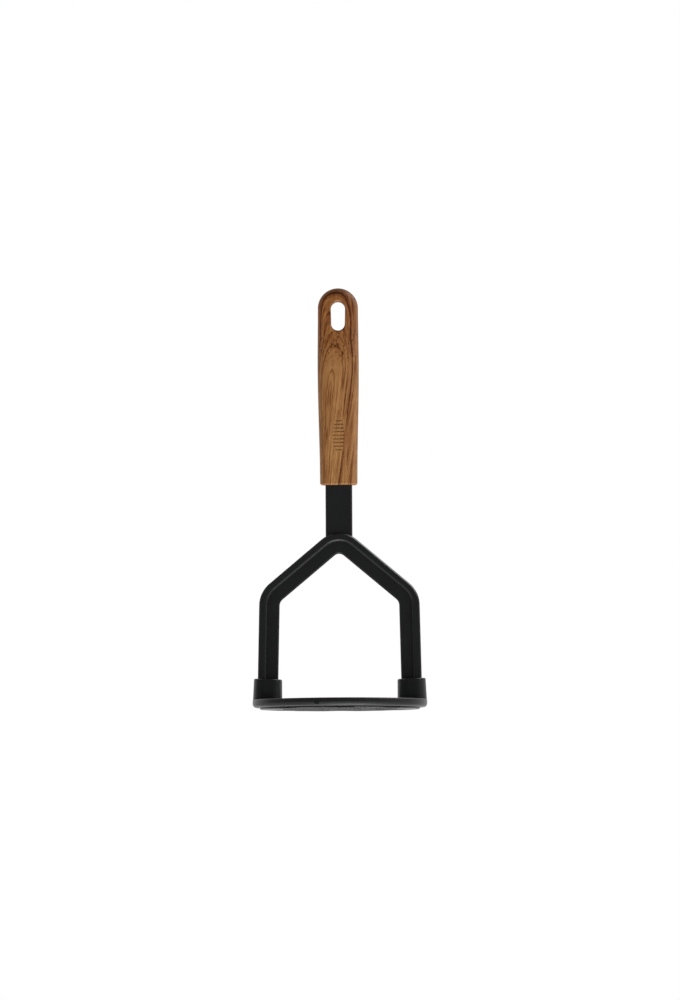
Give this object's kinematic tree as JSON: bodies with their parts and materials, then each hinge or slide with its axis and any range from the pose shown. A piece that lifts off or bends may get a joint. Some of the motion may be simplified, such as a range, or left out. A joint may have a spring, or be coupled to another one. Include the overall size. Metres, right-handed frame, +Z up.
{
  "type": "potato masher",
  "caption": "Upright potato masher: oval lattice plate with upright sockets, house-shaped T-section yoke, flat stem and slotted wood-effect handle.",
  "frame": {"origin": "middle of the base, level with the undersides of the lattice ribs", "axes": "+Z up along the handle, +X along the long axis of the plate through both sockets, front faces -Y"},
  "size_m": [0.11, 0.088, 0.2654],
  "materials": {
    "wood_effect_plastic": "satin wood-grain print on moulded plastic",
    "black_nylon": "fine satin moulded nylon"
  },
  "bodies": {
    "root": {"handle": "wood_effect_plastic", "frame": "black_nylon", "mashing_plate": "black_nylon"}
  },
  "joints": []
}
